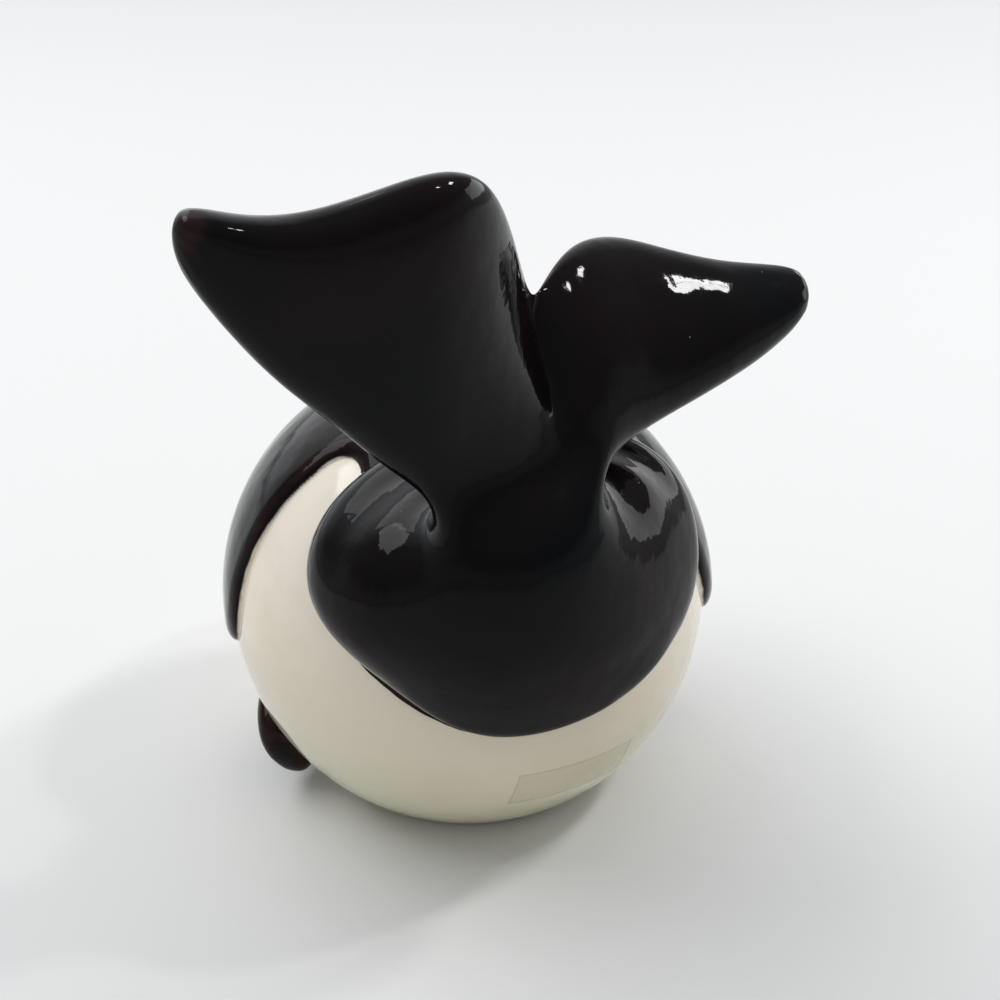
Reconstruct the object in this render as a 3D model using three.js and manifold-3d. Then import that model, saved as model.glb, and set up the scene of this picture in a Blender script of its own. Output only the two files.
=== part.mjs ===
// Orca coin bank: a glazed slip-cast body with a luted tail, dorsal fin and flippers, a soft plug in its base
// and a clear label on its belly. Millimetres, +Z up. The orca faces -Y and its own left side is +X.

import * as THREE from "three";
import { mergeVertices } from "three/addons/utils/BufferGeometryUtils.js";
import Module from "manifold-3d";

const wasm = await Module();
wasm.setup();

// Driving dimensions, in millimetres and degrees

// The round body, measured from the centre of its equator. The foot is where its lower half is cut flat.
const BODY = {
  halfWidth: 46,
  rearLength: 46,
  frontLength: 52,
  domeRise: 43,
  bellyDrop: 46.7,
  wall: 4.5,
  floorThickness: 5,
  columns: 48,
  rows: 30,
};

// The black back stands proud of the white belly and flanks, with a soft edge.
const CAPE = {
  relief: 1.8,
  edgeWidth: 4,
  rearEdge: 8.5,
  lowerEdge: -7,
  chinRise: 0.0024,
  cornerRadius: 14,
  spineHalfWidth: 22,
  spineBottom: 18,
};

const COIN_SLOT = { length: 31, width: 5, centreY: -23 };

const FOOT = { ringWidth: 5.5, recessDepth: 2.5, flangeClearance: 1 };

const PLUG = {
  holeRadius: 16.3,
  flangeOverlap: 3.2,
  flangeThickness: 1.7,
  depth: 13,
  wall: 2.4,
  leadIn: 1.5,
  gripWidth: 4,
  gripHeight: 7.5,
};

// The label sits low on the back of the belly, turned towards the orca's right.
const LABEL = { width: 24, height: 9, thickness: 0.3, turn: 18, drop: 20 };

// Every luted or seated joint keeps this gap, and so does the plug in its hole.
const JOINT_GAP = 0.3;

// The flukes: their chord runs up from the neck, and the whole pair is turned and rolled.
// The root is measured from the rear end of the equator.
const FLUKES = { root: new THREE.Vector3(-0.2, 4.5, 42.2), twist: 12, roll: -11.5 };

// Fluke stations from right tip to left tip. The left lobe stands upright and the right one lies forward.
// Columns: span, leading edge, trailing edge, thickness, thinning of the trailing edge, forward lean.
const FLUKE_STATIONS = [
  [-63, 40, 46, 6.5, 0, 42],
  [-55, 32.5, 45.5, 9, 0, 42],
  [-45, 26, 46.5, 11, 0.1, 42],
  [-34, 20, 48, 12.5, 0.2, 42],
  [-24, 15, 48.5, 13.5, 0.2, 41],
  [-14, 10, 45, 14, 0.2, 32],
  [-6, 8, 39, 13, 0.3, 24],
  [0, 8, 34.5, 12, 0.5, 19.5],
  [6, 8, 41, 13, 0.3, 14],
  [14, 7, 51, 14, 0.2, 7],
  [24, 9.5, 54.5, 13.5, 0.2, -2],
  [34, 15, 50, 12.5, 0.2, -3],
  [45, 21.5, 45, 11, 0.1, -3],
  [55, 30, 44, 9, 0, -3],
  [64.5, 39, 46.5, 6.5, 0, -3],
];
// The neck takes in this many stations each side of the notch, which sets the points in every tail ring.
const NECK_STATIONS = 2;
const RING_POINTS = 4 * NECK_STATIONS + 4;

// The tail stock's rings from the body to the neck, measured from the rear end of the equator.
// Columns: y, z, half width, half depth, tilt, narrowing of the lower side, fullness of the upper side.
const TAIL_RINGS = [
  [-28, 13.5, 29, 18, 24, 0.2, 0.05],
  [-19, 18.5, 34, 24, 24, 0.25, 0.08],
  [-10, 21.5, 34.5, 26.5, 26, 0.25, 0.08],
  [-3, 21.5, 31, 24, 32, 0.18, 0.06],
  [2.5, 24.5, 24, 19, 45, 0.08, 0.04],
  [5.5, 31.5, 17.5, 14.5, 66, 0, 0],
  [5, 39, 14.5, 11, 85, 0, 0],
];
const TAIL_BASE_X = -1.2;
const TAIL_WALL = 5;

// A hole through the body's wall, above the equator, lets the hollow tail stock breathe into the coin space.
const VENT = { radius: 4.5, rise: 16.5 };

// Fins: an anchor on the body's surface, with a sunk root and a tip measured from it.
// The dorsal fin's anchor is this far ahead of the body's rear end, which keeps it clear of the tail.
const DORSAL_FIN = {
  setback: 41.2,
  root: new THREE.Vector3(0, 0, -9.3),
  tip: new THREE.Vector3(0, 7.5, 21.7),
  rootChord: 18,
  rootThickness: 10,
  tipThickness: 6,
  rounding: 0.88,
};

const FLIPPER = {
  longitude: -16,
  latitude: -23.3,
  root: new THREE.Vector3(-14.6, 0, 0),
  tip: new THREE.Vector3(-3.1, 17, -15),
  rootChord: 27,
  rootThickness: 11,
  tipThickness: 8,
  rounding: 0.84,
};

// Where a fin's sections lie, as shares of the way from its root to its tip
const FIN_SECTIONS = [0, 0.3, 0.55, 0.75, 0.9, 1];

// Colours and finishes
const FINISHES = {
  belly_glaze: { color: 0xe9e2d2, roughness: 0.12, metalness: 0 },
  black_glaze: { color: 0x08090a, roughness: 0.06, metalness: 0 },
  plug: { color: 0x24262a, roughness: 0.6, metalness: 0 },
  film: { color: 0xd9d3b4, roughness: 0.25, metalness: 0 },
};

const radians = THREE.MathUtils.degToRad;
const { smoothstep } = THREE.MathUtils;

// Solids from geometries, and geometries from solids

function solid(geometry) {
  const bare = geometry.clone();
  bare.deleteAttribute("normal");
  bare.deleteAttribute("uv");
  const merged = mergeVertices(bare, 1e-4);
  return new wasm.Manifold(
    new wasm.Mesh({
      numProp: 3,
      vertProperties: new Float32Array(merged.attributes.position.array),
      triVerts: new Uint32Array(merged.index.array),
    }),
  );
}

function geometryOf(manifold) {
  const { numProp, numVert, vertProperties, triVerts } = manifold.getMesh();
  const positions = new Float32Array(numVert * 3);
  for (let i = 0; i < numVert; i++) {
    positions.set(vertProperties.subarray(i * numProp, i * numProp + 3), i * 3);
  }
  const geometry = new THREE.BufferGeometry();
  geometry.setAttribute("position", new THREE.BufferAttribute(positions, 3));
  geometry.setIndex(new THREE.BufferAttribute(triVerts, 1));
  geometry.computeVertexNormals();
  return geometry;
}

function box(size, centre) {
  return solid(new THREE.BoxGeometry(size.x, size.y, size.z).translate(centre.x, centre.y, centre.z));
}

function uprightCylinder(radius, bottom, top, segments = 48) {
  const geometry = new THREE.CylinderGeometry(radius, radius, top - bottom, segments);
  return solid(geometry.rotateX(Math.PI / 2).translate(0, 0, (bottom + top) / 2));
}

// Smooth cages: a closed mesh of polygons, rounded by Catmull-Clark smoothing

function smoothOnce({ points, faces }) {
  const facePoints = faces.map((face) => average(face.map((i) => points[i])));
  const edges = new Map();
  faces.forEach((face, f) =>
    face.forEach((a, k) => {
      const b = face[(k + 1) % face.length];
      const key = Math.min(a, b) + "_" + Math.max(a, b);
      if (!edges.has(key)) edges.set(key, { ends: [a, b], faces: [] });
      edges.get(key).faces.push(f);
    }),
  );
  const around = points.map(() => ({ faces: [], middles: [] }));
  faces.forEach((face, f) => face.forEach((i) => around[i].faces.push(facePoints[f])));
  const newPoints = [...facePoints];
  for (const edge of edges.values()) {
    const ends = edge.ends.map((i) => points[i]);
    edge.ends.forEach((i) => around[i].middles.push(average(ends)));
    edge.index = newPoints.push(average([...ends, ...edge.faces.map((f) => facePoints[f])])) - 1;
  }
  const first = newPoints.length;
  points.forEach((point, i) => {
    const n = around[i].faces.length;
    const moved = average(around[i].faces)
      .addScaledVector(average(around[i].middles), 2)
      .addScaledVector(point, n - 3);
    newPoints.push(moved.divideScalar(n));
  });
  const edgeOf = (a, b) => edges.get(Math.min(a, b) + "_" + Math.max(a, b)).index;
  const newFaces = faces.flatMap((face, f) =>
    face.map((i, k) => {
      const next = face[(k + 1) % face.length];
      const before = face[(k + face.length - 1) % face.length];
      return [f, edgeOf(before, i), first + i, edgeOf(i, next)];
    }),
  );
  return { points: newPoints, faces: newFaces };
}

function average(vectors) {
  return vectors.reduce((sum, v) => sum.add(v), new THREE.Vector3()).divideScalar(vectors.length);
}

function cageSolid(cage, rounds) {
  let smooth = cage;
  for (let i = 0; i < rounds; i++) smooth = smoothOnce(smooth);
  const geometry = new THREE.BufferGeometry().setFromPoints(smooth.points);
  geometry.setIndex(smooth.faces.flatMap(([a, b, c, d]) => [a, b, c, a, c, d]));
  return solid(geometry);
}

// Smoothing draws a ring of control points in by this share, so rings are made that much larger.
const ringGrowth = (points) => 3 / (2 + Math.cos((2 * Math.PI) / points));

// Rings of equal count joined by quads, with a polygon over each end
function loftCage(rings) {
  const count = rings[0].length;
  const at = (ring, k) => ring * count + (k % count);
  const faces = [];
  for (let r = 0; r + 1 < rings.length; r++) {
    for (let k = 0; k < count; k++) {
      faces.push([at(r, k), at(r, k + 1), at(r + 1, k + 1), at(r + 1, k)]);
    }
  }
  faces.push([...rings[0].keys()].reverse());
  faces.push([...rings[0].keys()].map((k) => at(rings.length - 1, k)));
  return { points: rings.flat(), faces };
}

// The body's outer form

// The foot is as wide as the plug, its flange and the ring need, and its width sets the equator's height.
const recessRadius = PLUG.holeRadius + PLUG.flangeOverlap + FOOT.flangeClearance;
const footRadius = recessRadius + FOOT.ringWidth;
const equatorHeight = BODY.bellyDrop * Math.sqrt(1 - (footRadius / BODY.halfWidth) ** 2);
const rearEnd = new THREE.Vector3(0, BODY.rearLength, equatorHeight);

// Distance into the black area at a point given from the equator's centre. Negative is white.
function capeDistance({ x, y, z }) {
  const lower = CAPE.lowerEdge + CAPE.chinRise * Math.min(y, 0) ** 2;
  const cape = smoothMin(CAPE.rearEdge - y, z - lower, CAPE.cornerRadius);
  const spine = Math.min(CAPE.spineHalfWidth - Math.abs(x), z - CAPE.spineBottom);
  return -smoothMin(-cape, -spine, CAPE.cornerRadius / 2);
}

function smoothMin(a, b, radius) {
  const h = Math.max(radius - Math.abs(a - b), 0) / radius;
  return Math.min(a, b) - (h * h * radius) / 4;
}

// A point of the body's form, pushed out along its normal by `offset`, with the cape's relief if asked for
function bodyPoint(longitude, latitude, offset, relief) {
  const out = Math.cos(latitude);
  const a = BODY.halfWidth;
  const b = Math.sin(longitude) > 0 ? BODY.rearLength : BODY.frontLength;
  const c = latitude > 0 ? BODY.domeRise : BODY.bellyDrop;
  const point = new THREE.Vector3(
    a * out * Math.cos(longitude),
    b * out * Math.sin(longitude),
    c * Math.sin(latitude),
  );
  const normal = new THREE.Vector3(point.x / a ** 2, point.y / b ** 2, point.z / c ** 2).normalize();
  const raised = relief * smoothstep(capeDistance(point), 0, CAPE.edgeWidth);
  point.addScaledVector(normal, offset + raised);
  point.z += equatorHeight;
  return point;
}

// The point of the body's crown line that lies this far ahead of its rear end
function crownPoint(setback) {
  const y = BODY.rearLength - setback;
  const reach = y > 0 ? BODY.rearLength : BODY.frontLength;
  return bodyPoint((Math.sign(y) * Math.PI) / 2, Math.acos(Math.abs(y) / reach), 0, 0);
}

function bodyForm(offset, relief = CAPE.relief) {
  const { columns, rows } = BODY;
  const geometry = new THREE.SphereGeometry(1, columns, rows);
  const place = geometry.attributes.position;
  for (let i = 0; i < place.count; i++) {
    const row = Math.floor(i / (columns + 1));
    const column = i % (columns + 1);
    const longitude = (2 * Math.PI * (column % columns)) / columns;
    const latitude = Math.PI / 2 - (Math.PI * row) / rows;
    const point = bodyPoint(row % rows === 0 ? 0 : longitude, latitude, offset, relief);
    place.setXYZ(i, point.x, point.y, point.z);
  }
  return solid(geometry);
}

// Everything below a level, as one wide block
function below(level) {
  const reach = 4 * (BODY.halfWidth + BODY.frontLength);
  return box(new THREE.Vector3(reach, reach, reach), new THREE.Vector3(0, 0, level - reach / 2));
}

const seat = bodyForm(JOINT_GAP);

function bodyShell() {
  const crown = equatorHeight + BODY.domeRise;
  const floorTop = FOOT.recessDepth + BODY.floorThickness;
  const cavity = bodyForm(-BODY.wall, 0).subtract(below(floorTop));
  const slot = box(
    new THREE.Vector3(COIN_SLOT.width, COIN_SLOT.length, crown),
    new THREE.Vector3(0, COIN_SLOT.centreY, equatorHeight + crown / 2),
  );
  return bodyForm(0)
    .subtract(below(0))
    .subtract(cavity)
    .subtract(slot)
    .subtract(uprightCylinder(recessRadius, -1, FOOT.recessDepth))
    .subtract(uprightCylinder(PLUG.holeRadius, -1, floorTop + 1))
    .subtract(vent());
}

function vent() {
  const geometry = new THREE.CylinderGeometry(VENT.radius, VENT.radius, BODY.rearLength * 2, 24);
  return solid(geometry.translate(0, BODY.rearLength, equatorHeight + VENT.rise));
}

// The tail: the flukes and the stock are one casting

function flukeFrame() {
  const turn = new THREE.Matrix4()
    .makeRotationZ(radians(FLUKES.twist))
    .multiply(new THREE.Matrix4().makeRotationY(radians(FLUKES.roll)));
  return turn.setPosition(FLUKES.root.clone().add(rearEnd));
}

function flukeRing([span, leading, trailing, thickness, thinning, lean], frame) {
  const growth = ringGrowth(RING_POINTS);
  const up = new THREE.Vector3(0, -Math.sin(radians(lean)), Math.cos(radians(lean)));
  const back = new THREE.Vector3(0, Math.cos(radians(lean)), Math.sin(radians(lean)));
  const ring = [];
  for (let k = 0; k < RING_POINTS; k++) {
    const angle = (2 * Math.PI * k) / RING_POINTS;
    const chord = (leading + trailing) / 2 + (Math.cos(angle) * growth * (trailing - leading)) / 2;
    const thick = thickness * (1 - (thinning * (1 + Math.cos(angle))) / 2);
    ring.push(
      new THREE.Vector3(span, 0, 0)
        .addScaledVector(up, chord)
        .addScaledVector(back, (-Math.sin(angle) * growth * thick) / 2)
        .applyMatrix4(frame),
    );
  }
  return ring;
}

function tailRing([y, z, width, depth, tilt, point, fullness], share, inset = 0) {
  const growth = ringGrowth(RING_POINTS);
  const halfWidth = Math.max(width - inset, 1);
  const halfDepth = Math.max(depth - inset, 1);
  const twist = radians(FLUKES.twist * share);
  const across = new THREE.Vector3(Math.cos(twist), Math.sin(twist), 0);
  const outward = new THREE.Vector3(0, Math.sin(radians(tilt)), -Math.cos(radians(tilt)));
  const x = THREE.MathUtils.lerp(TAIL_BASE_X, FLUKES.root.x, share);
  const centre = new THREE.Vector3(x, y, z).add(rearEnd);
  const ring = [];
  for (let k = 0; k < RING_POINTS; k++) {
    const angle = (2 * Math.PI * k) / RING_POINTS;
    const narrowing = 1 - (Math.sin(angle) > 0 ? point : -fullness) * Math.abs(Math.sin(2 * angle));
    ring.push(
      centre
        .clone()
        .addScaledVector(across, growth * halfWidth * Math.cos(angle) * narrowing)
        .addScaledVector(outward, growth * halfDepth * Math.sin(angle)),
    );
  }
  return ring;
}

function tailCage() {
  const frame = flukeFrame();
  const cage = loftCage(FLUKE_STATIONS.map((station) => flukeRing(station, frame)));
  const count = RING_POINTS;
  const middle = FLUKE_STATIONS.findIndex(([span]) => span === 0);
  const leadingEdge = count / 2;
  const first = middle - NECK_STATIONS;
  const last = middle + NECK_STATIONS;
  // The neck opens out of the leading edge between its outer stations.
  const open = new Set();
  for (let station = first; station < last; station++) {
    open.add(station * count + leadingEdge - 1);
    open.add(station * count + leadingEdge);
  }
  const faces = cage.faces.filter((face, f) => !open.has(f));
  const rim = [last * count + leadingEdge];
  for (let station = last; station >= first; station--) rim.push(station * count + leadingEdge + 1);
  rim.push(first * count + leadingEdge);
  for (let station = first; station <= last; station++) rim.push(station * count + leadingEdge - 1);
  const points = [...cage.points];
  let above = rim;
  [...TAIL_RINGS].reverse().forEach((row, i) => {
    const share = 1 - i / (TAIL_RINGS.length - 1);
    const ring = tailRing(row, share).map((p) => points.push(p) - 1);
    ring.forEach((p, k) => {
      const next = (k + 1) % count;
      faces.push([above[next], above[k], p, ring[next]]);
    });
    above = ring;
  });
  faces.push(above.reverse());
  return { points, faces };
}

function tailHollow() {
  const last = TAIL_RINGS.length - 1;
  const rings = TAIL_RINGS.slice(0, last).map((row, i) => tailRing(row, i / last, TAIL_WALL));
  return cageSolid(loftCage(rings), 1);
}

const tailCasting = () => cageSolid(tailCage(), 1).subtract(tailHollow()).subtract(seat);

// Fins: rounded sections from a sunk root to a narrow tip, trimmed to the body

function finRing(centre, along, thick, chord, thickness, count = 8) {
  const growth = ringGrowth(count);
  return Array.from({ length: count }, (unused, k) => {
    const angle = (2 * Math.PI * k) / count;
    return centre
      .clone()
      .addScaledVector(along, (growth * chord * Math.cos(angle)) / 2)
      .addScaledVector(thick, (growth * thickness * Math.sin(angle)) / 2);
  });
}

function fin({ root, tip, rootChord, rootThickness, tipThickness, rounding }, anchor, side = 1) {
  const mirror = new THREE.Vector3(side, 1, 1);
  const foot = anchor.clone().add(root).multiply(mirror);
  const axis = tip.clone().sub(root).multiply(mirror);
  const direction = axis.clone().normalize();
  const along = new THREE.Vector3(0, 1, 0).addScaledVector(direction, -direction.y).normalize();
  const thick = new THREE.Vector3().crossVectors(direction, along);
  const rings = FIN_SECTIONS.map((share) =>
    finRing(
      foot.clone().addScaledVector(axis, share),
      along,
      thick,
      rootChord * Math.sqrt(1 - (rounding * share) ** 2),
      THREE.MathUtils.lerp(rootThickness, tipThickness, share),
    ),
  );
  return cageSolid(loftCage(rings), 1).subtract(seat);
}

// The soft plug: a flanged cup, open downwards, with a grip bar across it

function plug() {
  const radius = PLUG.holeRadius - JOINT_GAP;
  const flange = PLUG.holeRadius + PLUG.flangeOverlap;
  const top = FOOT.recessDepth - JOINT_GAP;
  const bottom = top - PLUG.flangeThickness;
  const crown = bottom + PLUG.depth;
  const profile = [
    [radius - PLUG.wall, bottom],
    [flange, bottom],
    [flange, top],
    [radius, top],
    [radius, crown - PLUG.leadIn],
    [radius - PLUG.leadIn, crown],
    [0, crown],
    [0, crown - PLUG.wall],
    [radius - PLUG.wall, crown - PLUG.wall],
    [radius - PLUG.wall, bottom],
  ].map(([r, z]) => new THREE.Vector2(r, z));
  const cup = solid(new THREE.LatheGeometry(profile, 48).rotateX(Math.PI / 2));
  const barTop = crown - PLUG.wall / 2;
  const bar = box(
    new THREE.Vector3(2 * radius - PLUG.wall, PLUG.gripWidth, PLUG.gripHeight + PLUG.wall / 2),
    new THREE.Vector3(0, 0, barTop - (PLUG.gripHeight + PLUG.wall / 2) / 2),
  );
  return cup.add(bar);
}

function label() {
  const reach = BODY.rearLength + BODY.wall;
  const outline = new THREE.BoxGeometry(LABEL.width, reach, LABEL.height)
    .translate(0, reach / 2, equatorHeight - LABEL.drop)
    .rotateZ(radians(LABEL.turn));
  return bodyForm(JOINT_GAP + LABEL.thickness).subtract(seat).intersect(solid(outline));
}

// The assembly

function piece(name, manifold, finish) {
  const mesh = new THREE.Mesh(geometryOf(manifold), new THREE.MeshStandardMaterial(FINISHES[finish]));
  mesh.name = name;
  return mesh;
}

const flipperAnchor = bodyPoint(radians(FLIPPER.longitude), radians(FLIPPER.latitude), 0, 0);

const bank = new THREE.Group();
bank.add(
  piece("body_shell", bodyShell(), "belly_glaze"),
  piece("tail_casting", tailCasting(), "black_glaze"),
  piece("dorsal_fin", fin(DORSAL_FIN, crownPoint(DORSAL_FIN.setback)), "black_glaze"),
  piece("left_flipper", fin(FLIPPER, flipperAnchor), "black_glaze"),
  piece("right_flipper", fin(FLIPPER, flipperAnchor, -1), "black_glaze"),
  piece("base_plug", plug(), "plug"),
  piece("clear_label", label(), "film"),
);

// The part's origin is the middle of its bounding box on the floor.
const extent = new THREE.Box3().setFromObject(bank);
const centre = extent.getCenter(new THREE.Vector3());
bank.position.set(-centre.x, -centre.y, -extent.min.z);

const orcaCoinBank = new THREE.Group();
orcaCoinBank.add(bank);

export default orcaCoinBank;
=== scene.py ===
"""Orca coin bank: a glazed, slip-cast body with tail and fins, a soft base plug and a blank clear label.

Every piece is shaped in millimetres about the body's upright axis, with the foot on the floor, and is then
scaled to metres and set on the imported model's axis. The orca faces -Y and its own left side is +X.
"""

import math

import bmesh
import bpy
from mathutils import Matrix, Vector


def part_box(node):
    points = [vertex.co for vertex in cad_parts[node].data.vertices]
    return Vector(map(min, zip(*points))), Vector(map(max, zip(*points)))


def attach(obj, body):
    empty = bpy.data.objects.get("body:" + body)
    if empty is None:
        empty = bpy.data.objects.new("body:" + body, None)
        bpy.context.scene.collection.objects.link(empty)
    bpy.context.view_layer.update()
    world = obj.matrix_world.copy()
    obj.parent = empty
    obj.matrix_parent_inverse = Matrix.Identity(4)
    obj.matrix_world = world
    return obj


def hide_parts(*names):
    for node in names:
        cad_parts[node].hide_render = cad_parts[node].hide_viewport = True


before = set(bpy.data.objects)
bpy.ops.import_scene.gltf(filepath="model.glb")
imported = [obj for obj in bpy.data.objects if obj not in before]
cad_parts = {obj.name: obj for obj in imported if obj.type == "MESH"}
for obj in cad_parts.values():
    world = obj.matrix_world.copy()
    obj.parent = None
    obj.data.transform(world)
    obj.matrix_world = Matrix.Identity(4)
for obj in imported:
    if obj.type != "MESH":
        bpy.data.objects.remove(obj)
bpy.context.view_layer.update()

MM = 0.001
plug_low, plug_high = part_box("base_plug")
AXIS = Vector(((plug_low.x + plug_high.x) / 2, (plug_low.y + plug_high.y) / 2, 0.0))

# The body's form, in millimetres from the centre of its equator
HALF_WIDTH = 46
REAR_LENGTH = 46
FRONT_LENGTH = 52
DOME_RISE = 43
BELLY_DROP = 46.7
WALL = 4.5
EQUATOR = 38.52
# Two half forms of unlike lengths run into each other over this share of the way to their ends.
SEAM_BLEND = 0.35
DIRECTION_PASSES = 3

# The black back stands proud of the white.
CAPE_RELIEF = 1.8
CAPE_EDGE = 3
CAPE_REAR = 9.4
# The right side reaches further to the rear and ends a little higher, fully so this far from the middle.
CAPE_RIGHT_GROWTH = 10
CAPE_RIGHT_RISE = 2.2
CAPE_GROWTH_WIDTH = 30
CAPE_LOWER = -7
CHIN_RISE = 0.0036
CAPE_CORNER = 14
SPINE_HALF_WIDTH = 22
SPINE_BOTTOM = 18

# Flat black glaze runs on past the tail's joint.
ROOT_X = -1.5
ROOT_BOTTOM = -5.2
ROOT_SPREAD_LEFT = 58
ROOT_SPREAD_RIGHT = 70
ROOT_CURL = 0.06
ROOT_CURL_START = 25.5
ROOT_STEEPNESS = 0.85
ROOT_TOP = 15
ROOT_SLANT = 0.1
ROOT_CORNER = 5

# The face's eye patches and eyes, in millimetres from the equator's centre
EYE_PATCH = Vector((31.8, -30.2, 19.5))
EYE_PATCH_HALF_LENGTH = 8.2
EYE_PATCH_HALF_HEIGHT = 4.7
EYE_PATCH_SLANT = 24
EYE_PATCH_RELIEF = 0.35
EYE_PATCH_EDGE = (-0.4, 0.8)
EYE = Vector((25.4, -39.0, 12.4))
EYE_RADIUS = 2.5
EYE_RING = 3.5
EYE_RELIEF = 1.1
CHEEK_LINE = Vector((0.6, 0.75, 0)).normalized()

# The coin slot in the crown, with a softened rim
SLOT_HALF_WIDTH = 2.5
SLOT_FRONT = -38.5
SLOT_REAR = -7.5
SLOT_SOFTNESS = 1.8
SLOT_SAG = 0.6

# The foot, its recess and the plug hole
FLOOR_TOP = 7.5
RECESS_DEPTH = 2.5
RECESS_RADIUS = 20.5
HOLE_RADIUS = 16.3
HOLE_BRIM = 1.5
FOOT_ROUNDING = 0.9
# The place of the bare clay among the body's materials
BARE_CLAY = 1

# The body's mesh: a square patch over the crown, and rings from its edge down to the foot
PATCH_CELLS = 96
PATCH_REACH = math.radians(56)
SLOT_SIDE_LINES = 3
SLOT_EASE_LINES = 6
OUTER_RINGS = 60
INNER_RINGS = 16
FINE_REACHES = (3.4, 1.6)

# The flukes' stations from right tip to left tip
# Columns: span, its splay at the leading edge, leading edge, trailing edge, thickness,
# thinning of the trailing edge, forward lean, hollow of the rear.
FLUKE_STATIONS = (
    (-64.8, 0, 38.4, 46.8, 8, 0, 42, 1.4),
    (-55.5, 0, 30.7, 47, 10.5, 0, 42, 1.8),
    (-45, 0, 24.5, 46.8, 12, 0.1, 42, 0),
    (-34, 0, 19, 48.8, 13, 0.2, 42, 0),
    (-24, -2, 15, 50.5, 13.5, 0.2, 41, 0),
    (-12, -4, 9, 46, 14, 0.2, 33, 0),
    (-4.9, -6, 7, 38, 13, 0.3, 28, 1.5),
    (-1.3, -6.5, 6, 34, 12, 0.5, 23, 6),
    (3.9, -2, 4.5, 40, 13, 0.3, 15, 3),
    (13, 5, 3.5, 53, 14, 0.2, 5, 0),
    (24, 2, 8, 56.5, 13.5, 0.2, -2, 0),
    (34, 0, 14.4, 52.5, 12.5, 0.2, -3, 0),
    (45, 0, 21.3, 47.5, 11, 0.1, -3, 0),
    (55, 0, 30.2, 46.5, 9, 0, -3, 0),
    (64.5, 0, 40.5, 48.5, 6.5, 0, -3, 0),
)
# How much the left lobe's trailing edge is rounded to a roll, and the spans over which that sets in
RIM_ROLL = 0.8
RIM_ROLL_SPANS = (6, 22)
NOTCH_CREASE = 0.85
NOTCH_STATION = 7
NECK_STATIONS = 2
RING_POINTS = 12
LEADING_EDGE = 6
FLUKE_ROOT = Vector((-0.2, REAR_LENGTH + 4.5, EQUATOR + 42.2))
FLUKE_TWIST = 12
FLUKE_ROLL = -11.5

# The tail stock's rings from the body to the neck, measured from the rear end of the equator
# Columns: y, z, half width, half depth, tilt, narrowing of the lower side,
# fullness of the upper side, its height.
STOCK_RINGS = (
    (-28, 13.5, 29, 18, 24, 0.25, 0.05, 1.1),
    (-19, 18.5, 34, 23.5, 24, 0.3, 0.08, 1.12),
    (-10, 21.5, 35.4, 25.8, 26, 0.29, 0.08, 1.1),
    (-3, 21.5, 32.8, 23.6, 32, 0.33, 0.08, 1.12),
    (3, 28, 26, 18, 40, 0.15, 0.16, 1.25),
    (5.5, 35, 18.5, 14, 60, 0, 0.2, 1.2),
    (4.5, 42.5, 13.6, 11, 85, 0, 0.1, 1),
)
SHOULDER_FLATNESS = 0.8
# The left shoulder is wider than the right one, and leaner above.
SHOULDER_WIDENING = 0.05
SHOULDER_SLIMMING = 0.36
LIP_RING = 3
LIP_CREASE = 0.65
STOCK_BASE_X = -1.8
# The right side of the stock is fuller below than the left.
STOCK_RIGHT_SHARE = 0.1
TAIL_LEVELS = 4
FIN_LEVELS = 4

# A piece's seat on the body: the gap, how near it a point counts as on it, and how near points are merged
SEAT_GAP = 0.02
SEAT_SNAP = 0.04
SEAT_MERGE = 0.004
SEAT_RINGS = 5

# How often the measure of how sharply a surface turns is evened out between neighbours
THIN_PASSES = 4
TINY = 1e-9
SHARP_ANGLE = math.radians(38)


def smoothstep(low, high, value):
    t = min(max((value - low) / (high - low), 0), 1)
    return t * t * (3 - 2 * t)


def smooth_min(a, b, radius):
    h = max(radius - abs(a - b), 0) / radius
    return min(a, b) - h * h * radius / 4


# The body's form


def half_lengths(direction, offset=0.0):
    """The form's half lengths along x, y and z that hold in a direction from the equator's centre."""
    rear = smoothstep(-SEAM_BLEND, SEAM_BLEND, direction.y)
    top = smoothstep(-SEAM_BLEND, SEAM_BLEND, direction.z)
    length = FRONT_LENGTH + (REAR_LENGTH - FRONT_LENGTH) * rear
    height = BELLY_DROP + (DOME_RISE - BELLY_DROP) * top
    return HALF_WIDTH + offset, length + offset, height + offset


def cape_distance(p):
    """Millimetres into the raised black back, at a point given from the equator's centre."""
    right = smoothstep(0, CAPE_GROWTH_WIDTH, -p.x)
    lower = CAPE_LOWER + CHIN_RISE * min(p.y, 0) ** 2
    lower += CAPE_RIGHT_RISE * right * max(p.y / CAPE_REAR, 0)
    rear = CAPE_REAR + CAPE_RIGHT_GROWTH * right
    cape = smooth_min(rear - p.y, p.z - lower, CAPE_CORNER)
    spine = min(SPINE_HALF_WIDTH - abs(p.x), p.z - SPINE_BOTTOM)
    return -smooth_min(-cape, -spine, CAPE_CORNER / 2)


def root_distance(p):
    """Millimetres into the flat black that rings the tail's joint."""
    x = p.x - ROOT_X
    edge = ROOT_BOTTOM + x * x / (ROOT_SPREAD_LEFT if x > 0 else ROOT_SPREAD_RIGHT)
    edge += ROOT_CURL * max(abs(x) - ROOT_CURL_START, 0) ** 2
    above = (p.z - edge) * ROOT_STEEPNESS
    below = ROOT_TOP + ROOT_SLANT * p.x - p.z
    return min(smooth_min(above, below, ROOT_CORNER), p.y)


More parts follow.
